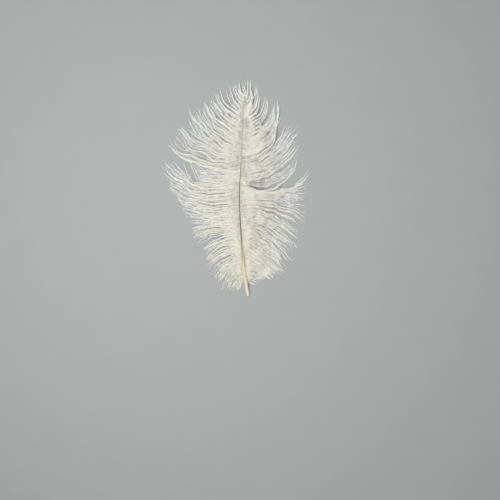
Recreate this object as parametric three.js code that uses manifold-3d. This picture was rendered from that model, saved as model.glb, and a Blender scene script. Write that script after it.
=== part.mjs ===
// A white ostrich feather, lying on a surface with its quill cut off square.
// It grew as one piece: a shaft, thick at the quill and as fine as a hair at the tip, and barbs
// that leave it on both sides. The barbs hang together in locks, so each stretch of vane is a
// pleated sheet here: a lock is a ridge that runs out to a point, and the sheet stops short in the
// valley between two locks. The vane arches up from the shaft and comes down again, and the ends
// of the locks lie flat on the surface.
//
// Units are millimetres. X runs across the vanes, Y along the shaft from the quill to the tip, Z up
// from the surface. The origin is on the surface, under the middle of the feather's outline.
import * as THREE from "three";
import { mergeVertices } from "three/addons/utils/BufferGeometryUtils.js";
import Module from "manifold-3d";

const RIGHT = 1;
const LEFT = -1;

// The shaft, from the cut end of the quill to where it is lost among the last barbs.
const SHAFT_STATIONS = [
  { x: 10.9, y: -88.2, z: 0.97, diameter: 2.1 },
  { x: 9.5, y: -81, z: 2.3, diameter: 3.0 },
  { x: 8.1, y: -71, z: 3.6, diameter: 3.2 },
  { x: 6.8, y: -59, z: 5.0, diameter: 2.5 },
  { x: 5.6, y: -43, z: 6.7, diameter: 1.8 },
  { x: 4.5, y: -23, z: 8.1, diameter: 1.3 },
  { x: 4.1, y: -4, z: 8.8, diameter: 1.2 },
  { x: 4.8, y: 13, z: 8.7, diameter: 1.1 },
  { x: 5.7, y: 32, z: 7.7, diameter: 1.1 },
  { x: 6.7, y: 52, z: 5.8, diameter: 1.0 },
  { x: 8.0, y: 75, z: 3.0, diameter: 0.9 },
];
const SHAFT_SIDES = 8;
const SHAFT_STEPS = 27;

// The vanes, stretch by stretch from the quill to the tip. A guide is one barb's way: the Y at which
// it leaves the shaft, the point [x, y] that it bends towards, and its tip. The barbs part between
// one stretch and the next.
const VANES = [
  {
    side: LEFT,
    locks: 20,
    guides: [
      { root: -76.5, bend: [5, -76.5], tip: [1.5, -86] },
      { root: -72, bend: [1.5, -71.5], tip: [-5, -85.5] },
      { root: -67, bend: [-1.5, -65.5], tip: [-10.5, -83] },
      { root: -60.5, bend: [-4, -59], tip: [-17, -77] },
      { root: -52.5, bend: [-5.5, -48.5], tip: [-20.5, -65] },
      { root: -43.5, bend: [-8, -38.5], tip: [-26, -54] },
      { root: -34.5, bend: [-17, -28.5], tip: [-34.5, -40] },
      { root: -27, bend: [-17, -28.5], tip: [-37.5, -26] },
      { root: -19.5, bend: [-20.5, -27], tip: [-45, -15] },
      { root: -13, bend: [-25.5, -22], tip: [-51.5, -3.5] },
      { root: -7.5, bend: [-28.5, -15.5], tip: [-56.5, 6.5] },
      { root: -1.5, bend: [-30.5, -9], tip: [-60.5, 15.5] },
      { root: 3.5, bend: [-28.5, -4], tip: [-56.5, 24] },
      { root: 8, bend: [-25.5, -1], tip: [-46.5, 22] },
      { root: 11.5, bend: [-25.5, 6.5], tip: [-38.5, 19.5] },
    ],
  },
  {
    side: LEFT,
    locks: 15,
    guides: [
      { root: 11.5, bend: [-24.5, 10], tip: [-48.5, 27] },
      { root: 16.5, bend: [-26, 16.5], tip: [-55, 37.5] },
      { root: 21.5, bend: [-25.5, 23], tip: [-48.5, 47.5] },
      { root: 26, bend: [-22, 27], tip: [-42, 60.5] },
      { root: 31, bend: [-18, 31], tip: [-33.5, 67] },
      { root: 37.5, bend: [-15, 37.5], tip: [-27, 69.5] },
      { root: 46.5, bend: [-10.5, 47.5], tip: [-21.5, 70.5] },
      { root: 55, bend: [-8, 56.5], tip: [-15, 76.5] },
      { root: 61.5, bend: [-4, 63], tip: [-8.5, 81] },
      { root: 66.5, bend: [0, 69], tip: [-2.5, 86] },
      { root: 71.5, bend: [2.5, 74.5], tip: [1, 88] },
      { root: 74.5, bend: [5.5, 78.5], tip: [5, 87.5] },
    ],
  },
  {
    side: RIGHT,
    locks: 14,
    guides: [
      { root: -77.5, bend: [11.5, -77.5], tip: [15, -81] },
      { root: -74, bend: [15.5, -73], tip: [21.5, -76.5] },
      { root: -67, bend: [17, -67], tip: [27, -74.5] },
      { root: -58, bend: [16.5, -56.5], tip: [32, -74] },
      { root: -47.5, bend: [15.5, -47.5], tip: [41, -67] },
      { root: -37.5, bend: [19, -34.5], tip: [46, -59] },
      { root: -28, bend: [22, -23], tip: [51, -46.5] },
      { root: -19, bend: [26, -13], tip: [55, -33.5] },
      { root: -12.5, bend: [30.5, -7.5], tip: [57.5, -19.5] },
      { root: -7.5, bend: [34.5, -5], tip: [59, -7.5] },
      { root: -3.5, bend: [38.5, -9], tip: [60.5, 5.5] },
      { root: 1, bend: [42.5, -12.5], tip: [60.5, 15.5] },
    ],
  },
  {
    side: RIGHT,
    locks: 1,
    guides: [
      { root: 1.5, bend: [39.5, -12.5], tip: [53.5, 21.5] },
      { root: 4.5, bend: [37.5, -7.5], tip: [51, 23] },
    ],
  },
  {
    side: RIGHT,
    locks: 6,
    guides: [
      { root: 5, bend: [33, 4], tip: [56, 34.5] },
      { root: 13, bend: [31, 12.5], tip: [52.5, 42.5] },
      { root: 19.5, bend: [27, 18], tip: [48.5, 49] },
      { root: 26, bend: [25.5, 24], tip: [46, 54] },
    ],
  },
  {
    side: RIGHT,
    locks: 9,
    guides: [
      { root: 26.5, bend: [39.5, 28.5], tip: [35.5, 69.5] },
      { root: 33, bend: [32, 31], tip: [33, 69] },
      { root: 39.5, bend: [25.5, 37], tip: [30.5, 67] },
      { root: 47.5, bend: [21.5, 46], tip: [27, 69] },
      { root: 54, bend: [22, 53.5], tip: [24.5, 75.5] },
      { root: 60, bend: [20.5, 60.5], tip: [18, 81] },
      { root: 65.5, bend: [16.5, 66.5], tip: [15, 86] },
      { root: 70.5, bend: [12.5, 72], tip: [12, 88.5] },
      { root: 74, bend: [10, 76.5], tip: [9, 87.5] },
    ],
  },
];
const BARB_STEPS = 7;
// A lock's underside meets the surface at this share of its way, and lies flat on it from there.
const LIE_FLAT = (BARB_STEPS - 1) / BARB_STEPS;
// Between two locks the sheet reaches only this far, as a share of the way to their tips.
const VALLEY_REACH = 0.74;
const CROWN = 0.3; // the arch over the straight way down, as a share of the height at the shaft
const FALL_POWER = 1.5; // over 1, so that the vane leaves the shaft nearly level
const RIDGE = 0.7; // how far a lock stands above, and a valley lies below, the middle of the pleat
const ROOT_SINK = 0.2; // the vane's inner edge is this far beside the shaft's axis, inside the shaft
const ROOT_THICKNESS = 0.44;
const VANE_THICKNESS = 1.4;
const TIP_THICKNESS = 0.8;
const ROOT_SWELL = 0.25; // the share of the way over which the vane thickens from its root

const curveThrough = (points) =>
  new THREE.CatmullRomCurve3(points, false, "catmullrom");

const shaftLine = curveThrough(
  SHAFT_STATIONS.map((s) => new THREE.Vector3(s.x, s.y, s.z)),
);
const shaftGirth = curveThrough(
  SHAFT_STATIONS.map((s) => new THREE.Vector3(s.diameter, s.y, 0)),
);

// The point of the shaft's axis at a given Y, found by halving, because Y only grows along the shaft.
function shaftAt(y) {
  const halvings = 30;
  let low = 0;
  let high = 1;
  for (let i = 0; i < halvings; i++) {
    const middle = (low + high) / 2;
    if (shaftLine.getPoint(middle).y < y) low = middle;
    else high = middle;
  }
  return shaftLine.getPoint(low);
}

// A closed tube along the shaft: a unit cylinder whose rings are set on the axis, each with the
// girth that the shaft has there.
function shaftGeometry() {
  const flatDown = Math.PI / SHAFT_SIDES; // turns the section until a flat side faces down
  const tube = new THREE.CylinderGeometry(
    1,
    1,
    1,
    SHAFT_SIDES,
    SHAFT_STEPS,
    false,
    flatDown,
  );
  const place = tube.getAttribute("position");
  for (let i = 0; i < place.count; i++) {
    const t = place.getY(i) + 0.5;
    const centre = shaftLine.getPoint(t);
    const along = shaftLine.getTangent(t);
    const across = new THREE.Vector3(along.y, -along.x, 0).normalize();
    const up = new THREE.Vector3().crossVectors(across, along);
    const radius = shaftGirth.getPoint(t).x / 2;
    centre.addScaledVector(across, place.getX(i) * radius);
    centre.addScaledVector(up, place.getZ(i) * radius);
    place.setXYZ(i, centre.x, centre.y, centre.z);
  }
  return tube;
}

// How thick the vane is at share u of the way from the shaft to a lock's end.
function thicknessAt(u) {
  const swell = THREE.MathUtils.smoothstep(u, 0, ROOT_SWELL);
  const inner = THREE.MathUtils.lerp(ROOT_THICKNESS, VANE_THICKNESS, swell);
  const outer = THREE.MathUtils.lerp(VANE_THICKNESS, TIP_THICKNESS, u);
  return Math.min(inner, outer);
}

// How high the vane's underside is at share u: from the shaft it arches over and comes down to lie
// flat. The pleat is added to the arch, so ridges and valleys are level at both ends of it.
function undersideAt(u, rootHeight, pleat) {
  const down = Math.min(u / LIE_FLAT, 1);
  const fall = rootHeight * (1 - Math.pow(down, FALL_POWER));
  const arch = 4 * down * (1 - down); // 0 at both ends and 1 halfway
  return fall + arch * (CROWN * rootHeight + pleat);
}

// One stretch of vane as a closed pleated sheet: a box cut into steps along the barbs, with two rows
// for each lock, moved point by point onto the barbs' ways.
function vaneGeometry({ side, locks, guides }) {
  const rows = 2 * locks;
  const sheet = new THREE.BoxGeometry(1, 1, 1, BARB_STEPS, rows, 1);
  const roots = curveThrough(
    guides.map((g) => new THREE.Vector3(0, g.root, 0)),
  );
  const bends = curveThrough(
    guides.map((g) => new THREE.Vector3(...g.bend, 0)),
  );
  const tips = curveThrough(guides.map((g) => new THREE.Vector3(...g.tip, 0)));
  const place = sheet.getAttribute("position");
  for (let i = 0; i < place.count; i++) {
    const u = place.getX(i) + 0.5;
    const row = Math.round((place.getY(i) + 0.5) * rows);
    const isLock = row % 2 === 1;
    const share = (side === RIGHT ? row : rows - row) / rows;
    const root = shaftAt(roots.getPoint(share).y);
    const rootHeight = root.z - ROOT_THICKNESS / 2;
    const start = new THREE.Vector3(root.x + side * ROOT_SINK, root.y, 0);
    const way = new THREE.QuadraticBezierCurve3(
      start,
      bends.getPoint(share),
      tips.getPoint(share),
    );
    const at = way.getPoint(isLock ? u : u * VALLEY_REACH);
    const underside = undersideAt(u, rootHeight, isLock ? RIDGE : -RIDGE);
    const rise = (place.getZ(i) + 0.5) * thicknessAt(u);
    place.setXYZ(i, at.x, at.y, underside + rise);
  }
  return sheet;
}

const wasm = await Module();
wasm.setup();

function solidFrom(geometry) {
  const samePoint = 1e-4;
  geometry.deleteAttribute("normal");
  geometry.deleteAttribute("uv");
  const merged = mergeVertices(geometry, samePoint);
  return new wasm.Manifold(
    new wasm.Mesh({
      numProp: 3,
      vertProperties: new Float32Array(merged.getAttribute("position").array),
      triVerts: new Uint32Array(merged.index.array),
    }),
  );
}

function geometryFrom(solid) {
  const mesh = solid.getMesh();
  const geometry = new THREE.BufferGeometry();
  geometry.setAttribute(
    "position",
    new THREE.BufferAttribute(mesh.vertProperties, 3),
  );
  geometry.setIndex(new THREE.BufferAttribute(mesh.triVerts, 1));
  geometry.computeVertexNormals();
  return geometry;
}

let grown = solidFrom(shaftGeometry());
for (const vane of VANES) grown = grown.add(solidFrom(vaneGeometry(vane)));

const feather = new THREE.Mesh(
  geometryFrom(grown),
  new THREE.MeshStandardMaterial({
    color: 0xdedbce,
    roughness: 0.85,
    metalness: 0,
  }),
);
feather.name = "feather";

const part = new THREE.Group();
part.add(feather);

export default part;
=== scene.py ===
# %% [markdown]
# # A white ostrich feather
#
# A feather is one growth: a horn-like shaft, hollow at the quill, with barbs along both sides. On most
# feathers tiny hooks zip the barbs into a smooth blade. An ostrich has no such hooks, so each barb carries a
# soft fringe of barbules and hangs loose, and neighbours lean together into strands and pointed locks.
#
# The CAD model holds the arched shaft and the locks as solids, for weight and contact. Here real barbs take
# their place. The steps are: the stage, the shaft's line, the barbs' ways, the barbules, the finishes and the
# shaft itself.

# %% Load the frame
import math

import bpy
import numpy as np
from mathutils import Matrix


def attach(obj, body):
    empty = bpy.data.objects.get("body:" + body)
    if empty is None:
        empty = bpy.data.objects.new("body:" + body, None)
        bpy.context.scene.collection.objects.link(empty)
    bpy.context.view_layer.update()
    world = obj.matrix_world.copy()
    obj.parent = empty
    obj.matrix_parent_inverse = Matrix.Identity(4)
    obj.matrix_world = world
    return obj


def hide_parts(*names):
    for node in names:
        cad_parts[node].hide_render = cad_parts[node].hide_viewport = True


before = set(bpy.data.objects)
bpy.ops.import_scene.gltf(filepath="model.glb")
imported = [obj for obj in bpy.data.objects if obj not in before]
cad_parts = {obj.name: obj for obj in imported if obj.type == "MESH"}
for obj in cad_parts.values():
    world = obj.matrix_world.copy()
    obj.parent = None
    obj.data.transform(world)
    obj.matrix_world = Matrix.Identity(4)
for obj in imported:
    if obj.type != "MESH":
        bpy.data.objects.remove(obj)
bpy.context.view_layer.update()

MM = 0.001

# %% [markdown]
# ## Stage, light and camera
#
# White on grey lives on soft light. A lamp straight above would flatten the locks, and a hard one would draw
# black lines under every barb. A wide panel a little to the left and a bright surround give each strand a
# light side and a pale shadow. The camera looks straight down, because the feather lies on its surface.


# %% Helpers for colours and nodes
def colour(hex_code):
    """A linear colour from an sRGB hex code such as 'F2F0E6'."""
    parts = [int(hex_code[i : i + 2], 16) / 255 for i in (0, 2, 4)]
    linear = [p / 12.92 if p <= 0.04045 else ((p + 0.055) / 1.055) ** 2.4 for p in parts]
    return (*linear, 1.0)


def add(tree, kind, inputs=None, **settings):
    """Adds a node with its settings. An input takes a plain value, or another node's output as a link."""
    node = tree.nodes.new(kind)
    for name, value in settings.items():
        setattr(node, name, value)
    for socket, value in (inputs or {}).items():
        if isinstance(value, bpy.types.NodeSocket):
            tree.links.new(value, node.inputs[socket])
        else:
            node.inputs[socket].default_value = value
    return node


def new_material(name):
    """An empty material: its node tree, and the output node that the last shader goes to."""
    material = bpy.data.materials.new(name)
    material.use_nodes = True
    material.node_tree.nodes.clear()
    output = add(material.node_tree, "ShaderNodeOutputMaterial")
    return material, material.node_tree, output


# %% Floor: matt grey card
FLOOR_RADIUS = 0.8
FLOOR_CORNERS = 96
CARD_MOTTLE = 20 * MM


def card_material():
    """Matt card: a rough, even grey. A faint mottle of 20 mm keeps it from looking like a flat fill."""
    material, tree, output = new_material("matt grey card")
    place = add(tree, "ShaderNodeTexCoord").outputs["Object"]
    mottle = add(tree, "ShaderNodeTexNoise", {"Vector": place, "Scale": 1 / CARD_MOTTLE, "Detail": 3.0})
    ramp = add(tree, "ShaderNodeValToRGB", {"Fac": mottle.outputs["Fac"]})
    ramp.color_ramp.elements[0].color = colour("AAABAA")
    ramp.color_ramp.elements[1].color = colour("AEAFAE")
    inputs = {"Base Color": ramp.outputs["Color"], "Roughness": 0.9}
    shader = add(tree, "ShaderNodeBsdfPrincipled", inputs)
    tree.links.new(shader.outputs["BSDF"], output.inputs["Surface"])
    return material


def make_floor():
    """A round sheet of card, so that no corner shows from the side."""
    turns = [2 * math.pi * k / FLOOR_CORNERS for k in range(FLOOR_CORNERS)]
    edge = [(FLOOR_RADIUS * math.cos(t), FLOOR_RADIUS * math.sin(t), 0) for t in turns]
    mesh = bpy.data.meshes.new("floor")
    mesh.from_pydata(edge, [], [range(FLOOR_CORNERS)])
    mesh.materials.append(card_material())
    floor = bpy.data.objects.new("floor", mesh)
    bpy.context.collection.objects.link(floor)
    return floor


floor = make_floor()
print("floor: round card of", 2 * FLOOR_RADIUS, "m")

# %% Camera, straight down
VIEW_WIDTH = 410 * MM
VIEW_CENTRE = (12.3 * MM, -50.8 * MM)
LENS = 85.0
SENSOR = 36.0

camera = bpy.data.objects.new("camera", bpy.data.cameras.new("camera"))
camera.data.lens = LENS
camera.data.sensor_width = SENSOR
camera.location = (*VIEW_CENTRE, VIEW_WIDTH * LENS / SENSOR)
bpy.context.collection.objects.link(camera)
bpy.context.scene.camera = camera
print("camera height in mm:", round(camera.location.z / MM))

# %% Lights
SURROUND_STRENGTH = 0.36
LIGHT_BOUNCES = 8  # enough for light to find its way through the down


def area_light(name, place, size, watts, aim):
    """A round panel that shines from its place towards a point, both in metres."""
    light = bpy.data.lights.new(name, "AREA")
    light.shape = "DISK"
    light.size = size
    light.energy = watts
    lamp = bpy.data.objects.new(name, light)
    lamp.location = place
    way = [a - p for a, p in zip(aim, place)]
    tilt = math.atan2(math.hypot(way[0], way[1]), -way[2])
    turn = math.atan2(way[1], way[0]) - math.pi / 2
    lamp.rotation_euler = (tilt, 0, turn)
    bpy.context.collection.objects.link(lamp)


area_light("panel", place=(-0.13, -0.03, 0.58), size=0.42, watts=3.05, aim=(0.2, 0.1, 0))

world = bpy.data.worlds.new("surround")
world.use_nodes = True
surround = world.node_tree.nodes["Background"].inputs
surround["Color"].default_value = colour("F4F6F8")
surround["Strength"].default_value = SURROUND_STRENGTH
bpy.context.scene.world = world
bpy.context.scene.view_settings.view_transform = "Standard"
bpy.context.scene.cycles.diffuse_bounces = LIGHT_BOUNCES
print("lights: one panel, and a surround of strength", SURROUND_STRENGTH)

# %% [markdown]
# ## The shaft's line and the barbs' guides
#
# The shaft is a gentle arch: it rests on the quill's cut end and on the tips of the barbs. A smooth curve
# through a few stations gives its place and its girth. Each vane follows guides in the same way. A guide is
# one barb: where it leaves the shaft, the point it bends towards and where its tip lies. All other barbs lie
# between two guides, so that some eighty guides shape eight hundred barbs. A parting is simply a place where
# one list of guides ends.

# %% Stations of the shaft, in millimetres
SHAFT = [  # x, y, z and diameter
    (10.9, -88.2, 1.05, 2.1),
    (9.5, -81, 2.3, 3.0),
    (8.1, -71, 3.6, 3.2),
    (6.8, -59, 5.0, 2.5),
    (5.6, -43, 6.7, 1.8),
    (4.3, -23, 8.1, 1.3),
    (3.8, -4, 8.8, 1.2),
    (4.8, 13, 8.7, 1.1),
    (5.7, 32, 7.7, 0.9),
    (6.7, 52, 5.8, 0.7),
    (8.0, 75, 3.0, 0.35),
]

# %% Guides of the vanes, in millimetres
LEFT = -1
RIGHT = 1
USUAL = dict(
    spacing=1.0,  # distance between roots, against the usual one
    gather=0.0,  # how far the whole stretch draws together towards its middle, 0 to 1
    lift=0.0,  # how much higher it lies, in mm
    loose_share=0.42,  # how many of the barbs stay out of the strands, 0 to 1
    strand_size=(2, 7),  # barbs in a strand, from the first number to just under the second
    fullness=1.0,  # length of the barbules, against the usual one
)


def stretch(side, guides, **settings):
    """One stretch of vane. Its guides are rows of: the root's y, the bend's x and y, the tip's x and y."""
    return dict(side=side, guides=guides, **{**USUAL, **settings})


VANES = {
    "left_base": stretch(
        LEFT,
        [
            (-76.5, 6, -77, 3, -85),
            (-72, 2, -72, -4, -85),
            (-67, -1, -66, -10, -82),
            (-60.5, -4, -59, -16.5, -76.5),
        ],
        loose_share=0.55,
        strand_size=(2, 5),
    ),
    "left_lower": stretch(
        LEFT,
        [
            (-60.5, -4, -59, -16.5, -76.5),
            (-52.5, -5.5, -48.5, -20.5, -65),
            (-43.5, -8, -38.5, -26, -54),
            (-34.5, -17, -28.5, -34.5, -40),
            (-27, -17, -28.5, -37.5, -26),
            (-19.5, -20.5, -27, -45, -15),
            (-13, -25.5, -22, -51.5, -3.5),
            (-7.5, -30, -17, -57, 6.5),
            (-1.5, -34, -14, -60.5, 16),
            (3.5, -36, -11, -57.5, 25),
            (6.5, -35, -8, -56.5, 26),
        ],
    ),
    "left_wisps": stretch(
        LEFT,
        [
            (7, -40, -9, -47, 22),
            (9, -39, -7, -43.5, 22),
            (11, -39, -6, -41, 21),
        ],
        spacing=3.0,
        lift=-2.0,
        loose_share=0.6,
    ),
    "left_hook": stretch(
        LEFT,
        [
            (8, -35, -7, -38, 24),
            (11, -35, -3, -37, 28),
        ],
        spacing=1.4,
        gather=0.3,
        loose_share=0.1,
    ),
    "left_inner": stretch(
        LEFT,
        [
            (5, -18, 1, -31, 3),
            (9, -18, 5, -34, 12),
            (14, -18, 11, -37, 20),
        ],
        spacing=0.9,
        loose_share=0.5,
    ),
    "left_full": stretch(
        LEFT,
        [
            (12.5, -29, 12.5, -50.5, 27),
            (16.5, -32, 19, -53.5, 37),
            (21.5, -32, 27, -47.5, 47),
            (26, -28, 32, -41.5, 57),
            (31, -22, 36, -34.5, 65),
            (37.5, -16, 41, -27, 69.5),
        ],
    ),
    "left_top": stretch(
        LEFT,
        [
            (37.5, -16, 41, -27, 69.5),
            (46.5, -11, 50, -21, 71.5),
            (55, -8, 58, -14.5, 77),
            (61.5, -4, 63, -8.5, 81),
            (66.5, 0, 69, -2.5, 86),
            (71.5, 2.5, 74.5, 1, 88),
            (74.5, 5.5, 78.5, 5, 87.5),
            (75.5, 7.2, 80.5, 7.8, 87),
        ],
        loose_share=0.15,
        strand_size=(4, 8),
    ),
    "right_lower": stretch(
        RIGHT,
        [
            (-77.5, 11.5, -77.5, 15, -81),
            (-74, 15.5, -73, 21.5, -76.5),
            (-67, 17, -67, 27, -74.5),
            (-58, 15.5, -58, 31, -74),
            (-47.5, 15, -48.5, 39, -68.5),
            (-37.5, 19, -35.5, 43.5, -62.5),
            (-28, 23, -23.5, 49, -51.5),
            (-19, 27, -13.5, 53.5, -37),
            (-12.5, 30.5, -7.5, 57, -22),
            (-7.5, 34.5, -5, 59, -7.5),
            (-3.5, 38.5, -9, 60.5, 5.5),
            (1, 42.5, -12.5, 60.5, 15.5),
        ],
        spacing=0.85,
    ),
    "right_sweep_low": stretch(
        RIGHT,
        [
            (-47, 13, -51, 39.5, -69.5),
            (-43, 13, -48, 40.5, -68.5),
        ],
        spacing=0.75,
        gather=0.95,
        lift=2.2,
        loose_share=0.0,
        fullness=0.6,
    ),
    "right_sweep_high": stretch(
        RIGHT,
        [
            (-32, 19, -37, 42, -65.5),
            (-29, 20, -34, 43, -64),
        ],
        spacing=0.75,
        gather=0.95,
        lift=2.2,
        loose_share=0.0,
        fullness=0.6,
    ),
    "right_strand": stretch(
        RIGHT,
        [
            (1.5, 37, -15, 52, 21.5),
            (3.5, 35, -13, 50.5, 23),
        ],
        gather=0.6,
        lift=-0.5,
        loose_share=0.0,
    ),
    "right_fold": stretch(
        RIGHT,
        [
            (1.5, 9, -0.5, 14.5, -5.5),
            (4, 9, 1.5, 16, -3.5),
            (6.5, 9, 4.5, 16, -0.5),
        ],
        spacing=0.5,
        lift=2.8,
        loose_share=0.3,
    ),
    "right_veil": stretch(
        RIGHT,
        [
            (4.5, 33, -6, 49, 17),
            (6.5, 33, -1, 51, 23),
            (8.5, 33, 3, 54, 30),
        ],
        lift=-4.0,
        loose_share=0.7,
        fullness=0.7,
    ),
    "right_upper": stretch(
        RIGHT,
        [
            (5.5, 32, 3, 56, 34.5),
            (13, 31, 12.5, 52.5, 42.5),
            (18, 27, 17, 49, 49),
            (22.5, 25.5, 21.5, 46, 53),
        ],
    ),
    "right_lock_outer": stretch(
        RIGHT,
        [
            (22, 42, 27, 35.3, 68),
            (26, 39, 29, 35.1, 68.5),
            (31, 34, 30.5, 34.8, 68),
        ],
        spacing=1.1,
        gather=0.45,
        lift=1.5,
        loose_share=0.1,
    ),
    "right_lock_inner": stretch(
        RIGHT,
        [
            (34, 30, 35.5, 33, 67),
            (40, 27.5, 41, 33, 67.5),
            (46, 25, 48, 33.2, 67),
        ],
        spacing=1.3,
        gather=0.5,
        lift=1.0,
        loose_share=0.1,
    ),
    "right_short": stretch(
        RIGHT,
        [
            (26, 26, 26, 36, 47),
            (30, 26, 29, 36, 55),
            (36, 24, 34, 34.5, 63),
            (43, 20, 40.5, 29, 67),
        ],
        spacing=0.9,
        lift=3.0,
        loose_share=0.2,
    ),
    "right_spike": stretch(
        RIGHT,
        [
            (56, 17.5, 61, 12, 85),
            (61, 16, 65, 11.9, 85.5),
            (65, 14.5, 69, 11.6, 85),
        ],
        spacing=0.8,
        gather=0.7,
        lift=2.0,
        loose_share=0.0,
    ),
    "right_top": stretch(
        RIGHT,
        [
            (43.5, 22, 42.5, 28.5, 67),
            (47.5, 21.5, 46, 27, 71),
            (54, 22, 53.5, 24.5, 75.5),
            (60, 20.5, 60.5, 18, 81),
            (65.5, 16.5, 66.5, 15, 86),
            (70.5, 12.5, 72, 12, 88.5),
            (74, 10, 76.5, 9, 87.5),
            (75.5, 8.8, 80.5, 7.2, 86),
        ],
        loose_share=0.15,
        strand_size=(4, 8),
    ),
}
print("guides:", sum(len(row["guides"]) for row in VANES.values()), "in", len(VANES), "stretches")

# %% Smooth curves through those numbers
SHAFT_STEPS = 600


def through(rows, share):
    """The smooth curve through rows of numbers, at shares 0 to 1 of its stretches."""
    rows = np.asarray(rows, float)
    rows = np.vstack([2 * rows[0] - rows[1], rows, 2 * rows[-1] - rows[-2]])
    place = np.clip(share, 0, 1) * (len(rows) - 3)
    i = np.minimum(place.astype(int), len(rows) - 4)
    t = (place - i)[..., None]
    a, b, c, d = (rows[i + k] for k in range(4))
    return b + 0.5 * t * (c - a + t * (2 * a - 5 * b + 4 * c - d + t * (3 * b - 3 * c + d - a)))


def smooth(x, low, high):
    """Rises from 0 at low to 1 at high, gently at both ends."""
    t = np.clip((x - low) / (high - low), 0, 1)
    return t * t * (3 - 2 * t)


shaft_line = through(SHAFT, np.linspace(0, 1, SHAFT_STEPS))


def shaft_at(y):
    """The shaft's x, z and diameter at y."""
    return [np.interp(y, shaft_line[:, 1], shaft_line[:, k]) for k in (0, 2, 3)]


print("the shaft's highest point in mm:", round(shaft_line[:, 2].max(), 1))

# %% [markdown]
# ## The ways of the barbs
#
# Drawing each barb by hand is hopeless, and scattering them at random gives a mop. The order of a feather
# comes from three things. Roots stand evenly along the shaft. Farther out barbs lean together, first into
# strands of a few barbs and then into locks. And neighbours share a slow wander, as they press on each other,
# while each strand has a sway, a height and a length of its own. Each of these is a line or two of arithmetic
# on whole arrays of points.

# %% Groups of barbs
FEWEST_BARBS = 3
ROOT_SPACING = 0.52  # mm
ROOT_SCATTER = 0.1  # mm
QUILL_CROWD = 0.5  # how many more barbs stand near the quill, where the vane fans out
QUILL_CROWD_FADES = (-48, -28)  # y in mm
GUIDE_STEPS = 400


def groups(count, size, rng):
    """Splits count things in a row into groups of random sizes, and gives each thing its group's number."""
    numbers = []
    while len(numbers) < count:
        numbers += [numbers[-1] + 1 if numbers else 0] * int(rng.integers(*size))
    return np.array(numbers[:count])


def mean_of(values, group):
    """Each group's mean value, for every member."""
    sums = np.bincount(group, values)
    return (sums / np.bincount(group))[group]


def spread_roots(rng, guides, spacing):
    """The y of each root in a stretch of vane, and its share of the way through the guides."""
    fine = np.linspace(0, 1, GUIDE_STEPS)
    guide_roots = through(guides[:, :1], fine)[:, 0]
    along = np.linspace(guides[0, 0], guides[-1, 0], GUIDE_STEPS)
    crowd = 1 + QUILL_CROWD * (1 - smooth(along, *QUILL_CROWD_FADES))
    barbs_so_far = np.cumsum(crowd) * (along[1] - along[0]) / ROOT_SPACING / spacing
    count = max(FEWEST_BARBS, round(barbs_so_far[-1]))
    even = np.interp(np.linspace(0, barbs_so_far[-1], count), barbs_so_far, along)
    root_y = even + rng.normal(0, ROOT_SCATTER, count)
    return root_y, np.interp(root_y, guide_roots, fine)


# %% A slow wander that all barbs share
WANDER_SEED = 5
WANDER_WAVES = 14
WANDER_LENGTHS = (4, 24)  # mm
WANDER_SLOPE = 0.056

wander_rng = np.random.default_rng(WANDER_SEED)
wander_lengths = wander_rng.uniform(*WANDER_LENGTHS, WANDER_WAVES)
wander_angles = wander_rng.uniform(0, 2 * np.pi, WANDER_WAVES)
wander_phases = wander_rng.uniform(0, 2 * np.pi, (3, WANDER_WAVES))


def wander(x, y, axis):
    """A slow unevenness in millimetres at x and y, the same for all barbs that pass there."""
    along = x[..., None] * np.cos(wander_angles) + y[..., None] * np.sin(wander_angles)
    waves = np.sin(2 * np.pi * along / wander_lengths + wander_phases[axis])
    return (waves * WANDER_SLOPE * wander_lengths).sum(-1) / math.sqrt(WANDER_WAVES)


# %% The barbs of one stretch, and random numbers for them
POINTS_ON_BARB = 24
LOCK_SIZE = (2, 5)  # strands in a lock
FREE_LENGTH = 45  # mm: shorter barbs are stiffer and sway less
STRAND_REACH = (0.93, 1.05)  # lengths, as a share of the guide's
BARB_REACH = (0.92, 1.01)
LOOSE_REACH = (0.85, 1.0)


class Barbs:
    """The barbs of one stretch of vane. In its arrays each row is a barb and each column a point along it.
    own is a barb's share of the way through the guides, and u the share of the way along a barb."""

    def __init__(self, rng, guides, spacing, strand_size, loose_share):
        self.rng = rng
        self.root_y, self.own = spread_roots(rng, guides, spacing)
        self.count = len(self.own)
        self.strand = groups(self.count, strand_size, rng)
        self.lock = groups(self.strand[-1] + 1, LOCK_SIZE, rng)[self.strand]
        guide = through(guides, self.own)
        outwards = guide[:, 3] - shaft_at(guide[:, 0])[0]
        self.length = np.hypot(outwards, guide[:, 4] - guide[:, 0])[:, None]
        self.ease = np.minimum(self.length / FREE_LENGTH, 1)
        self.loose = (rng.random(self.count) < loose_share)[:, None]
        self.u = np.linspace(0, 1, POINTS_ON_BARB)[None, :]

    def per_strand(self, low, high):
        """One random number for all barbs of a strand."""
        return self.rng.uniform(low, high, self.strand[-1] + 1)[self.strand][:, None]

    def per_barb(self, low, high):
        """One random number for each barb."""
        return self.rng.uniform(low, high, self.count)[:, None]

    def cut_to_length(self):
        """Sets q, the share of the way along the guide. Where a barb is short, it ends before 1."""
        reach = self.per_strand(*STRAND_REACH) * self.per_barb(*BARB_REACH)
        self.q = self.u * (reach * np.where(self.loose, self.per_barb(*LOOSE_REACH), 1))

    def ripple(self, draw, height, wavelength):
        """A wave along each barb. Its wavelength, start and height are drawn, the last from a range in mm."""
        turns = self.length * self.q / draw(*wavelength) + draw(0, 1)
        return self.ease * draw(*height) * np.sin(2 * np.pi * turns)


# %% [markdown]
# ## From root to tip
#
# Each function below looks after one thing about a barb: which neighbours it leans on, its way as seen from
# above, its height over the floor and the length of its barbules. The plain numbers in a smooth() of u or q
# say where along the barb a change begins and ends, from 0 at the root to 1 at the tip.

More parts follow.
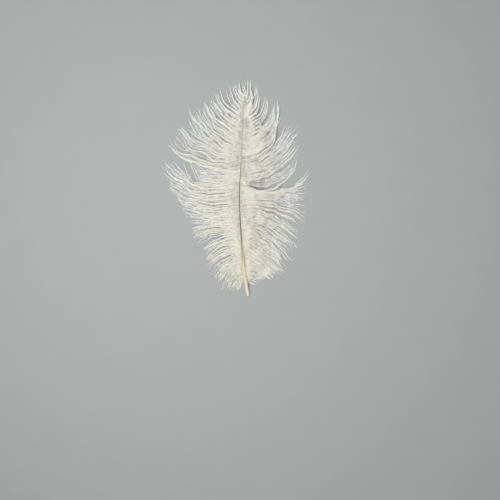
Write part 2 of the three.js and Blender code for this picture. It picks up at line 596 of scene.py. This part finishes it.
# %% Leaning together into strands and locks
PARTING = (0.4, 16)  # strands part at about this share of a barb, and at most this many millimetres out
GATHERING = (0.3, 1.1)  # a strand gathers between these shares of the way to its parting
HELD = (0.5, 0.9)  # how closely a strand holds its barbs from there on
HELD_AT_TIP = 0.95
LOCK_PULL = (0.0, 0.5)  # how far a lock draws its strands together at the tip


def leaned(barbs, gather):
    """The share of the way through the guides at each point, once neighbours have drawn together."""
    strand_share = mean_of(barbs.own, barbs.strand)
    lock_share = mean_of(barbs.own, barbs.lock)
    held = barbs.per_strand(*HELD)
    parting = np.minimum(barbs.length * PARTING[0], PARTING[1])
    early = held * smooth(barbs.u * barbs.length / parting, *GATHERING)
    pull = np.where(barbs.loose, 0.0, early + (HELD_AT_TIP - held) * smooth(barbs.u, 0.5, 1.0))
    lock_pull = smooth(barbs.u, 0.45, 1.0) * np.where(barbs.loose, 0.0, barbs.per_strand(*LOCK_PULL))
    share = barbs.own[:, None] + pull * (strand_share - barbs.own)[:, None]
    share = share + lock_pull * (lock_share - strand_share)[:, None]
    return share + gather * smooth(barbs.u, 0.25, 0.9) * (0.5 - share)


# %% The way as seen from above
STRAND_SWAY = dict(height=(0.1, 0.7), wavelength=(16, 45))  # mm
STRAND_RIPPLE = dict(height=(0.05, 0.25), wavelength=(6, 11))
BARB_RIPPLE = dict(height=(0.05, 0.35), wavelength=(9, 22))
STRAY = 3.5  # mm: the tip of a loose barb strays by up to this to either side
ROOT_OUT = 0.28  # the root's distance from the shaft's middle, against the girth


def seen_from_above(barbs, side, here):
    """The x and y of each point, on a bend from the root to the tip with sways on it."""
    root_x, _, girth = shaft_at(here[..., 0])
    root_x = root_x + side * ROOT_OUT * girth
    q = barbs.q
    a, b, c = (1 - q) ** 2, 2 * q * (1 - q), q**2
    x = a * root_x + b * here[..., 1] + c * here[..., 3]
    y = a * here[..., 0] + b * here[..., 2] + c * here[..., 4]

    way = np.stack([np.gradient(x, axis=1), np.gradient(y, axis=1)])
    way /= np.linalg.norm(way, axis=0)
    sway = barbs.ripple(barbs.per_strand, **STRAND_SWAY) + barbs.ripple(barbs.per_strand, **STRAND_RIPPLE)
    sway = sway + barbs.ripple(barbs.per_barb, **BARB_RIPPLE)
    sway = sway * smooth(q, 0.08, 0.5) + barbs.loose * barbs.ease * barbs.per_barb(-STRAY, STRAY) * q**2
    free = barbs.ease * smooth(q, 0.05, 0.45)
    sideways = x - way[1] * sway + free * wander(x, y, 0)
    return sideways, y + way[0] * sway + free * wander(x, y, 1)


# %% The height over the floor
LONG_BARBS = (18, 50)  # mm: between these lengths, barbs change from straight slopes to arches
LIE_FLAT = 0.72  # long barbs come down to the floor at this share of their length
FALL = 1.15  # power of the fall: 1 is a straight slope
CROWN = (0.06, 0.4)  # a long barb's bulge: a share of the root's height, and a fixed part in mm
ROOT_UP = 0.1  # the root's height over the shaft's middle, against the girth
ROOT_STEPS = 0.1  # neighbouring strands differ in height by this share at the root
HEIGHT_RIPPLE = dict(height=(0.2, 0.6), wavelength=(7, 13))
TIP_RISE = (0.1, 1.6)  # mm
TIP_CURL = 2.5  # power of that rise: the higher, the nearer to the tip it happens
LIFT_LOST = 0.65  # share of a stretch's lift that is gone at the tip
LOOSE_SINK = (0.4, 1.6)  # mm


def height(barbs, here, x, y, lift):
    """The z of each point: down from the root in an arch, with steps and ripples between strands."""
    _, root_z, girth = shaft_at(here[..., 0])
    root_z = root_z + ROOT_UP * girth
    q = barbs.q
    long = smooth(barbs.length, *LONG_BARBS)
    down = np.minimum(q / (1 - long * (1 - LIE_FLAT)), 1)
    arch = 4 * down * (1 - down)
    z = root_z * (1 - down**FALL) + long * arch * (CROWN[0] * root_z + CROWN[1])
    z = z + smooth(q, 0.0, 0.1) * (1 - down) * root_z * barbs.per_strand(-ROOT_STEPS, ROOT_STEPS)
    z = z + arch * wander(x, y, 2)
    z = z + smooth(q, 0.05, 0.2) * barbs.ripple(barbs.per_strand, **HEIGHT_RIPPLE)
    z = z + barbs.ease * barbs.per_strand(*TIP_RISE) * q**TIP_CURL
    z = z + lift * smooth(q, 0.1, 0.5) * (1 - LIFT_LOST * smooth(q, 0.5, 1))
    return z - barbs.loose * barbs.per_barb(*LOOSE_SINK) * smooth(q, 0.05, 0.4) * (1 - smooth(q, 0.7, 1))


# %% The length of the barbules
BARBULE_LENGTH = 1.95  # mm
TUFT_LENGTHS = (3, 8)  # mm
TUFT_SCATTER = 0.3  # of a tuft, between the barbs of a strand
TUFTS = 0.4  # this and the next are shares of the barbules' length
AT_ROOT = 0.4
LOST_IN_STRAND = 0.58
LOST_WHEN_LOOSE = 0.3
LOST_AT_TIP = 0.35
IN_STRAND = (0.75, 1.05)
WHEN_LOOSE = 1.15
ON_SHORT_BARBS = 0.6


def barbule_length(barbs, fullness):
    """The length of the barbules at each point: short at the root, full in the middle, with slow tufts."""
    u = barbs.u
    taper = AT_ROOT + (1 - AT_ROOT) * smooth(u, 0.0, 0.25)
    taper = taper * (1 - np.where(barbs.loose, LOST_WHEN_LOOSE, LOST_IN_STRAND) * smooth(u, 0.3, 0.85))
    taper = taper * (1 - LOST_AT_TIP * smooth(u, 0.88, 1.0))
    turns = barbs.length * barbs.q / barbs.per_strand(*TUFT_LENGTHS) + barbs.per_strand(0, 1)
    tufts = 1 + TUFTS * np.sin(2 * np.pi * (turns + barbs.per_barb(0, TUFT_SCATTER)))
    held = np.where(barbs.loose, WHEN_LOOSE, barbs.per_strand(*IN_STRAND))
    short = ON_SHORT_BARBS + (1 - ON_SHORT_BARBS) * barbs.ease
    return BARBULE_LENGTH * fullness * taper * tufts * held * short


# %% All of it together
ROOT_THICKNESS = 0.13  # mm
TIP_THICKNESS = 0.04  # mm
LEAST_HEIGHT = 0.15  # mm over the floor
FRINGE_HEIGHT = 0.42  # and this share of the barbules' length


def barb_ways(rng, side, guides, spacing, gather, lift, loose_share, strand_size, fullness):
    """The barbs of one stretch: places, and the share along the barb, fluff, thickness and tint there."""
    guides = np.asarray(guides, float)
    barbs = Barbs(rng, guides, spacing, strand_size, loose_share)
    here = through(guides, leaned(barbs, gather))
    barbs.cut_to_length()
    x, y = seen_from_above(barbs, side, here)
    z = height(barbs, here, x, y, lift)
    fluff = barbule_length(barbs, fullness)
    z = np.maximum(z, LEAST_HEIGHT + FRINGE_HEIGHT * fluff)
    thickness = ROOT_THICKNESS + (TIP_THICKNESS - ROOT_THICKNESS) * barbs.u
    return {
        "place": np.stack([x, y, z], axis=-1) * MM,
        "reach": np.broadcast_to(barbs.u, x.shape),
        "fluff": fluff * MM,
        "thickness": np.broadcast_to(thickness / 2 * MM, x.shape),
        "tint": np.broadcast_to(barbs.per_strand(0, 1), x.shape),
        "root": barbs.root_y,
    }


# %% [markdown]
# ## Barbules, by Geometry Nodes
#
# A barb is a fine thread with a fringe of much finer hairs, the barbules, on both sides. Hair curves would be
# the quick way, but they don't survive an export. So the tree turns each way into a thread with three sides,
# walks along it in equal steps, and sets one closed spike of four faces at each step, left and right in turn.
# A real barbule is about 0.02 mm thick and there are thousands on a barb. These are fewer and thicker, so
# that they cover as much.

# %% Inputs of the tree
BARB_INPUTS = {  # name: socket type and default
    "Spacing": ("NodeSocketFloat", 0.142 * MM),
    "Barbule Width": ("NodeSocketFloat", 0.13 * MM),
    "Barbule Thickness": ("NodeSocketFloat", 0.05 * MM),
    "Least Lean": ("NodeSocketFloat", math.radians(14)),
    "Most Lean": ("NodeSocketFloat", math.radians(54)),
    "Spread": ("NodeSocketFloat", math.radians(60)),
    "Seed": ("NodeSocketInt", 11),
}
THREAD_SIDES = 3
SPIKE_SIDES = 3
SHORTEST = 0.6  # length of the shortest barbules, against the fluff at that point
LONGER = 0.9  # how much longer the longest are
RARENESS = 3.0  # power: the higher, the fewer long barbules
FLOOR_GAP = 0.03 * MM


# %% Random numbers and directions of the barbules
def random_numbers(tree, given):
    """Three for each barbule: its spread, its lean, and a share from 0 to 1 for its length. Each has a seed
    of its own, counted on from the given one."""
    downwards = add(tree, "ShaderNodeMath", {0: given["Spread"], 1: -1.0}, operation="MULTIPLY").outputs[0]
    ranges = [(downwards, given["Spread"]), (given["Least Lean"], given["Most Lean"]), (0.0, 1.0)]
    drawn = []
    for number, (low, high) in enumerate(ranges, 1):
        seed = add(tree, "ShaderNodeMath", {0: given["Seed"], 1: float(number)}, operation="ADD").outputs[0]
        inputs = {2: low, 3: high, "Seed": seed}
        drawn.append(add(tree, "FunctionNodeRandomValue", inputs, data_type="FLOAT").outputs[1])
    return drawn


def turned(tree, rotation, angles):
    """The rotation, turned further about its own axes."""
    euler = add(tree, "ShaderNodeCombineXYZ", angles).outputs[0]
    turn = add(tree, "FunctionNodeEulerToRotation", {"Euler": euler}).outputs[0]
    inputs = {"Rotation": rotation, "Rotate By": turn}
    return add(tree, "FunctionNodeRotateRotation", inputs, rotation_space="LOCAL").outputs[0]


def barbule_rotation(tree, steps, spread, lean):
    """Left and right in turn, spread up and down, and leaning towards the barb's tip."""
    index = add(tree, "GeometryNodeInputIndex").outputs[0]
    turn_about = add(tree, "ShaderNodeMath", {0: index, 1: 2.0}, operation="MODULO").outputs[0]
    inputs = {0: turn_about, 1: math.pi, 2: spread}
    side = add(tree, "ShaderNodeMath", inputs, operation="MULTIPLY_ADD").outputs[0]
    rotation = turned(tree, steps.outputs["Rotation"], {"Z": side})
    return turned(tree, rotation, {"Y": lean})


# %% Threads, barbules and the floor under them
def threads_on(tree, curve):
    """The barb's own thread, with three sides and closed ends."""
    circle = {"Resolution": THREAD_SIDES, "Radius": 1.0}
    thickness = add(tree, "GeometryNodeInputNamedAttribute", {"Name": "thickness"}, data_type="FLOAT")
    inputs = {
        "Curve": curve,
        "Profile Curve": add(tree, "GeometryNodeCurvePrimitiveCircle", circle).outputs["Curve"],
        "Scale": thickness.outputs["Attribute"],
        "Fill Caps": True,
    }
    return add(tree, "GeometryNodeCurveToMesh", inputs).outputs[0]


def barbules_on(tree, given, curve):
    """A closed spike at each step along the curve. Most are short and a few are long."""
    inputs = {"Curve": curve, "Length": given["Spacing"]}
    steps = add(tree, "GeometryNodeCurveToPoints", inputs, mode="LENGTH")
    spread, lean, drawn = random_numbers(tree, given)
    rare = add(tree, "ShaderNodeMath", {0: drawn, 1: RARENESS}, operation="POWER").outputs[0]
    inputs = {0: rare, 1: LONGER, 2: SHORTEST}
    share = add(tree, "ShaderNodeMath", inputs, operation="MULTIPLY_ADD").outputs[0]
    fluff = add(tree, "GeometryNodeInputNamedAttribute", {"Name": "fluff"}, data_type="FLOAT")
    inputs = {0: fluff.outputs["Attribute"], 1: share}
    long = add(tree, "ShaderNodeMath", inputs, operation="MULTIPLY").outputs[0]
    sizes = {"X": given["Barbule Width"], "Y": given["Barbule Thickness"], "Z": long}
    cone = {"Vertices": SPIKE_SIDES, "Radius Top": 0.0, "Radius Bottom": 1.0, "Depth": 1.0}
    inputs = {
        "Points": steps.outputs["Points"],
        "Instance": add(tree, "GeometryNodeMeshCone", cone, fill_type="NGON").outputs["Mesh"],
        "Rotation": barbule_rotation(tree, steps, spread, lean),
        "Scale": add(tree, "ShaderNodeCombineXYZ", sizes).outputs[0],
    }
    return add(tree, "GeometryNodeInstanceOnPoints", inputs).outputs[0]


def kept_above_floor(tree, geometry):
    """Lifts whatever would dip into the floor to just above it."""
    position = add(tree, "GeometryNodeInputPosition").outputs[0]
    place = add(tree, "ShaderNodeSeparateXYZ", {0: position}).outputs
    above = add(tree, "ShaderNodeMath", {0: place["Z"], 1: FLOOR_GAP}, operation="MAXIMUM").outputs[0]
    place = add(tree, "ShaderNodeCombineXYZ", {"X": place["X"], "Y": place["Y"], "Z": above}).outputs[0]
    return add(tree, "GeometryNodeSetPosition", {"Geometry": geometry, "Position": place}).outputs[0]


# %% The barb tree
def barb_tree(material):
    """Turns the ways, a mesh of plain edges, into threads and barbules of the material."""
    tree = bpy.data.node_groups.new("barbs with barbules", "GeometryNodeTree")
    tree.interface.new_socket("Ways", in_out="INPUT", socket_type="NodeSocketGeometry")
    for name, (kind, value) in BARB_INPUTS.items():
        tree.interface.new_socket(name, in_out="INPUT", socket_type=kind).default_value = value
    tree.interface.new_socket("Barbs", in_out="OUTPUT", socket_type="NodeSocketGeometry")
    given = add(tree, "NodeGroupInput").outputs

    curve = add(tree, "GeometryNodeMeshToCurve", {"Mesh": given["Ways"]}).outputs[0]
    level = add(tree, "GeometryNodeSetCurveNormal", {"Curve": curve}, mode="Z_UP").outputs[0]
    both = add(tree, "GeometryNodeJoinGeometry")
    for part in (threads_on(tree, level), barbules_on(tree, given, level)):
        tree.links.new(part, both.inputs[0])
    real = add(tree, "GeometryNodeRealizeInstances", {"Geometry": both.outputs[0]}).outputs[0]
    inputs = {"Geometry": kept_above_floor(tree, real), "Material": material}
    dressed = add(tree, "GeometryNodeSetMaterial", inputs).outputs[0]
    add(tree, "NodeGroupOutput", {"Barbs": dressed})
    return tree


# %% Turning ways into a finished piece
def ways_object(name, ways):
    """A mesh of plain edges, one chain for each barb, that carries the barbs' measures as attributes."""
    barbs, points = ways["reach"].shape
    first = np.arange(barbs * points).reshape(barbs, points)
    edges = np.stack([first[:, :-1].ravel(), first[:, 1:].ravel()], axis=1)
    mesh = bpy.data.meshes.new(name)
    mesh.from_pydata(ways["place"].reshape(-1, 3).tolist(), edges.tolist(), [])
    for key in ("reach", "fluff", "thickness", "tint"):
        values = ways[key].ravel().astype(np.float32)
        mesh.attributes.new(key, "FLOAT", "POINT").data.foreach_set("value", values)
    ob = bpy.data.objects.new(name, mesh)
    bpy.context.collection.objects.link(ob)
    return ob


def grown(ob, tree, **values):
    """Runs the tree on the object, keeps the result as its plain mesh and gives the number of triangles."""
    modifier = ob.modifiers.new("barbs", "NODES")
    modifier.node_group = tree
    for item in tree.interface.items_tree:
        if item.item_type == "SOCKET" and item.name in values:
            modifier[item.identifier] = values[item.name]
    depsgraph = bpy.context.evaluated_depsgraph_get()
    mesh = bpy.data.meshes.new_from_object(ob.evaluated_get(depsgraph))
    ob.modifiers.clear()
    old = ob.data
    ob.data = mesh
    bpy.data.meshes.remove(old)
    mesh.name = ob.name
    triangles = sum(len(p.vertices) - 2 for p in mesh.polygons)
    print(f"{ob.name}: {triangles} triangles")
    return triangles


# %% [markdown]
# ## The barbs' finish: bleached keratin down
#
# The barbs are bleached keratin, the stuff of hair: nearly white, silky along the thread and never quite
# even. The old yellow stays near the shaft and towards the quill, and the tips are a cooler white. The colour
# follows the share along the barb and a tint for each strand, both of which the tree has carried onto the
# mesh.

# %% Bleached keratin down
DOWN_WHITE = "F3F4F1"
DOWN_YELLOW = "F1EEE1"
YELLOW_AT_ROOT = 0.55
YELLOW_LOST_AT_TIP = 0.75
YELLOW_TO_QUILL = (0.35, -0.33)  # added at the quill's end and at the top
YELLOW_PATCHES = 0.4
YELLOW_TINTS = 0.3
PATCH_SIZE = 12 * MM
SHAFT_ENDS = (-90 * MM, 90 * MM)  # y between which colours are spread along the feather


def yellowness(tree):
    """How yellow the down is at a point, 0 to 1, from its place on the barb and on the feather."""
    reach = add(tree, "ShaderNodeAttribute", attribute_name="reach").outputs["Fac"]
    tint = add(tree, "ShaderNodeAttribute", attribute_name="tint").outputs["Fac"]
    place = add(tree, "ShaderNodeTexCoord").outputs["Object"]
    inputs = {"Vector": place, "Scale": 1 / PATCH_SIZE, "Detail": 2.0}
    patch = add(tree, "ShaderNodeTexNoise", inputs).outputs["Fac"]
    inputs = {
        "Value": add(tree, "ShaderNodeSeparateXYZ", {"Vector": place}).outputs["Y"],
        "From Min": SHAFT_ENDS[0],
        "From Max": SHAFT_ENDS[1],
        "To Min": YELLOW_TO_QUILL[0],
        "To Max": YELLOW_TO_QUILL[1],
    }
    quillward = add(tree, "ShaderNodeMapRange", inputs).outputs[0]
    inputs = {0: reach, 1: -YELLOW_LOST_AT_TIP, 2: YELLOW_AT_ROOT}
    yellow = add(tree, "ShaderNodeMath", inputs, operation="MULTIPLY_ADD").outputs[0]
    yellow = add(tree, "ShaderNodeMath", {0: yellow, 1: quillward}, operation="ADD").outputs[0]
    inputs = {0: patch, 1: YELLOW_PATCHES, 2: yellow}
    yellow = add(tree, "ShaderNodeMath", inputs, operation="MULTIPLY_ADD").outputs[0]
    inputs = {0: tint, 1: YELLOW_TINTS, 2: yellow}
    return add(tree, "ShaderNodeMath", inputs, operation="MULTIPLY_ADD").outputs[0]


def down_material():
    """Bleached keratin: nearly white and rough, with a faint sheen. Patches of 12 mm and tints by strand keep
    it from looking like plastic."""
    material, tree, output = new_material("bleached keratin down")
    ramp = add(tree, "ShaderNodeValToRGB", {"Fac": yellowness(tree)})
    ramp.color_ramp.elements[0].color = colour(DOWN_WHITE)
    ramp.color_ramp.elements[1].color = colour(DOWN_YELLOW)
    inputs = {"Base Color": ramp.outputs["Color"], "Roughness": 0.6, "IOR": 1.54, "Specular IOR Level": 0.3}
    shader = add(tree, "ShaderNodeBsdfPrincipled", inputs)
    tree.links.new(shader.outputs["BSDF"], output.inputs["Surface"])
    return material


down = down_material()

# %% The vanes
SEED = 31
MIDDLE = (-28, 18)  # where each vane is cut into a quill, a middle and a tip piece, by the root's y
PARTS = {"quill": (-math.inf, MIDDLE[0]), "middle": MIDDLE, "tip": (MIDDLE[1], math.inf)}


def own_rng(name):
    """Random numbers that depend on the stretch's name alone, so that a change in one stretch stays there."""
    return np.random.default_rng([SEED, *name.encode()])


def vane_ways(side):
    """The ways of all barbs on one side of the shaft."""
    parts = [barb_ways(own_rng(name), **row) for name, row in VANES.items() if row["side"] == side]
    return {key: np.concatenate([part[key] for part in parts]) for key in parts[0]}


tree = barb_tree(down)
barbs = 0
triangles = 0
for number, (label, side) in enumerate({"left": LEFT, "right": RIGHT}.items()):
    ways = vane_ways(side)
    barbs += len(ways["root"])
    for part, (low, high) in PARTS.items():
        keep = (ways["root"] >= low) & (ways["root"] < high)
        piece = ways_object(f"{label}_vane_{part}", {key: value[keep] for key, value in ways.items()})
        triangles += grown(piece, tree, Seed=SEED + number)
        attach(piece, "root")
        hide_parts("feather")
print("in all:", barbs, "barbs,", triangles, "triangles")

# %% [markdown]
# ## The shaft
#
# The shaft is one horn-like tube. At the quill it is round, hollow and pale where it was cut. Farther up pith
# fills it and a groove runs along it, whose shade is painted on as a thin dark brown line. It is lofted from
# rings along the same line that the barbs follow. The rings of the hollow end go back inside, so that the
# wall is real from both sides.

# %% Rings of the shaft
RING_POINTS = 20
SHAFT_RINGS = 120
RING_CROWD = 1.1  # power: rings stand closer towards the quill
WALL = 0.34  # mm
HOLLOW_DEPTH = 7.0  # mm
INNER_END = 0.4  # mm from the last ring to the point that closes the hollow
TIP_END = 0.5  # mm from the last ring to the tip
GROOVE_DEPTH = 0.42  # share of the radius
GROOVE_HALF_ANGLE = math.radians(58)
GROOVE_TURN = math.radians(20)  # the groove faces a little to the left
GROOVE_STARTS = (-66, -50)  # y in mm
GROOVE_FADES = (20, 70)
GROOVE_LOST = 0.6  # share of the depth that is gone at the tip


def ring(place, way, radius, groove):
    """One ring round the shaft: its points and the groove's depth at each, 0 to 1."""
    angle = np.linspace(0, 2 * np.pi, RING_POINTS, endpoint=False)
    off = np.abs((angle - np.pi / 2 - GROOVE_TURN + np.pi) % (2 * np.pi) - np.pi)
    depth = groove * (0.5 + 0.5 * np.cos(np.pi * np.minimum(off / GROOVE_HALF_ANGLE, 1)))
    r = radius * (1 - GROOVE_DEPTH * depth)
    across = np.cross(way, (0, 0, 1))
    across /= np.linalg.norm(across)
    up = np.cross(across, way)
    points = place + r[:, None] * (np.cos(angle)[:, None] * across + np.sin(angle)[:, None] * up)
    return points, depth


def lofted(rings, start, end):
    """Vertices from start to end, and the faces between rings, with a fan to a point at each end."""
    faces = [(0, 1 + k, 1 + (k + 1) % RING_POINTS) for k in range(RING_POINTS)]
    for i in range(len(rings) - 1):
        here, above = 1 + i * RING_POINTS, 1 + (i + 1) * RING_POINTS
        for k in range(RING_POINTS):
            n = (k + 1) % RING_POINTS
            faces.append((here + k, above + k, above + n, here + n))
    last = 1 + (len(rings) - 1) * RING_POINTS
    faces += [(last + RING_POINTS, last + (k + 1) % RING_POINTS, last + k) for k in range(RING_POINTS)]
    return np.vstack([start, *rings, end]), faces


def shaft_rings():
    """Rings from deep inside the hollow end, out over the cut edge and along to the tip."""
    share = np.linspace(0, 1, SHAFT_RINGS) ** RING_CROWD
    line = through(SHAFT, share)
    way = np.gradient(line[:, :3], axis=0)
    way /= np.linalg.norm(way, axis=1)[:, None]
    rings = []
    inside = [i for i in range(SHAFT_RINGS) if line[i, 1] < line[0, 1] + HOLLOW_DEPTH][::-1]
    for i in inside:
        rings.append(ring(line[i, :3], way[i], line[i, 3] / 2 - WALL, 0.0))
    for i in range(SHAFT_RINGS):
        groove = smooth(line[i, 1], *GROOVE_STARTS) * (1 - GROOVE_LOST * smooth(line[i, 1], *GROOVE_FADES))
        rings.append(ring(line[i, :3], way[i], line[i, 3] / 2, groove))
    start = line[inside[0], :3] + way[inside[0]] * INNER_END
    return start, rings, line[-1, :3] + way[-1] * TIP_END


# %% Horn of the shaft
HORN_COLOURS = [  # share of the way between SHAFT_ENDS, and the colour there
    (0.01, "F1EFE4"),
    (0.06, "DFD9C6"),
    (0.10, "DCD2AE"),
    (0.15, "D2C79C"),
    (0.20, "D2C79D"),
    (0.28, "DCD2AE"),
    (0.42, "E8DEC0"),
    (0.58, "E1DAC0"),
    (0.75, "CFCCB9"),
    (1.00, "DAD8CC"),
]
# Painted shade: dark browns that stand in for the shade inside the groove, along the shaft
GROOVE_SHADE_COLOURS = [
    (0.12, "CFC393"),
    (0.22, "91805A"),
    (0.30, "3B260D"),
    (0.47, "241505"),
    (0.52, "3C2C17"),
    (0.57, "7E6C4C"),
    (0.66, "B4AB8D"),
    (0.90, "C5C0AC"),
]
# Painted shade: the groove depths between which the horn turns into that painted shade
GROOVE_SHADE_EDGE = (0.08, 0.33)  # depths between which horn turns into groove colour


def set_stops(elements, stops):
    """Gives a colour ramp its stops, each with a place and an sRGB hex code."""
    elements.remove(elements[-1])
    for n, (place, hex_code) in enumerate(stops):
        stop = elements[0] if n == 0 else elements.new(place)
        stop.position = place
        stop.color = colour(hex_code)


def horn_material():
    """Horn: smooth, with a soft gloss. It is white at the cut, honey-coloured along the quill and pale olive
    towards the tip. The groove is painted dark brown as its shade, which draws the feather's middle line."""
    material, tree, output = new_material("horn of the shaft")
    place = add(tree, "ShaderNodeTexCoord").outputs["Object"]
    y = add(tree, "ShaderNodeSeparateXYZ", {"Vector": place}).outputs["Y"]
    inputs = {"Value": y, "From Min": SHAFT_ENDS[0], "From Max": SHAFT_ENDS[1]}
    along = add(tree, "ShaderNodeMapRange", inputs).outputs[0]
    # Painted shade: the groove's depth at each point mixes in its dark brown
    depth = add(tree, "ShaderNodeAttribute", attribute_name="groove").outputs["Fac"]
    inputs = {"Value": depth, "From Min": GROOVE_SHADE_EDGE[0], "From Max": GROOVE_SHADE_EDGE[1]}
    groove = add(tree, "ShaderNodeMapRange", inputs).outputs[0]
    mix = add(tree, "ShaderNodeMix", data_type="RGBA")
    tree.links.new(groove, mix.inputs["Factor"])
    for socket, stops in ((6, HORN_COLOURS), (7, GROOVE_SHADE_COLOURS)):
        ramp = add(tree, "ShaderNodeValToRGB", {"Fac": along})
        set_stops(ramp.color_ramp.elements, stops)
        tree.links.new(ramp.outputs["Color"], mix.inputs[socket])
    inputs = {"Base Color": mix.outputs[2], "Roughness": 0.38, "IOR": 1.54}
    shader = add(tree, "ShaderNodeBsdfPrincipled", inputs)
    tree.links.new(shader.outputs["BSDF"], output.inputs["Surface"])
    return material


# %% The shaft as a piece
def make_shaft():
    """The closed mesh of the shaft, with the groove's depth at each vertex for the painted shade in the
    groove.
    """
    start, rings, end = shaft_rings()
    points, faces = lofted([points for points, _ in rings], start, end)
    mesh = bpy.data.meshes.new("shaft")
    mesh.from_pydata((points * MM).tolist(), [], faces)
    depth = np.concatenate([[0.0], *[depth for _, depth in rings], [0.0]])
    mesh.attributes.new("groove", "FLOAT", "POINT").data.foreach_set("value", depth.astype(np.float32))
    mesh.polygons.foreach_set("use_smooth", [True] * len(faces))
    mesh.materials.append(horn_material())
    shaft = bpy.data.objects.new("shaft", mesh)
    bpy.context.collection.objects.link(shaft)
    return shaft


shaft = make_shaft()
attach(shaft, "root")
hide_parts("feather")
print("shaft:", len(shaft.data.polygons), "faces")
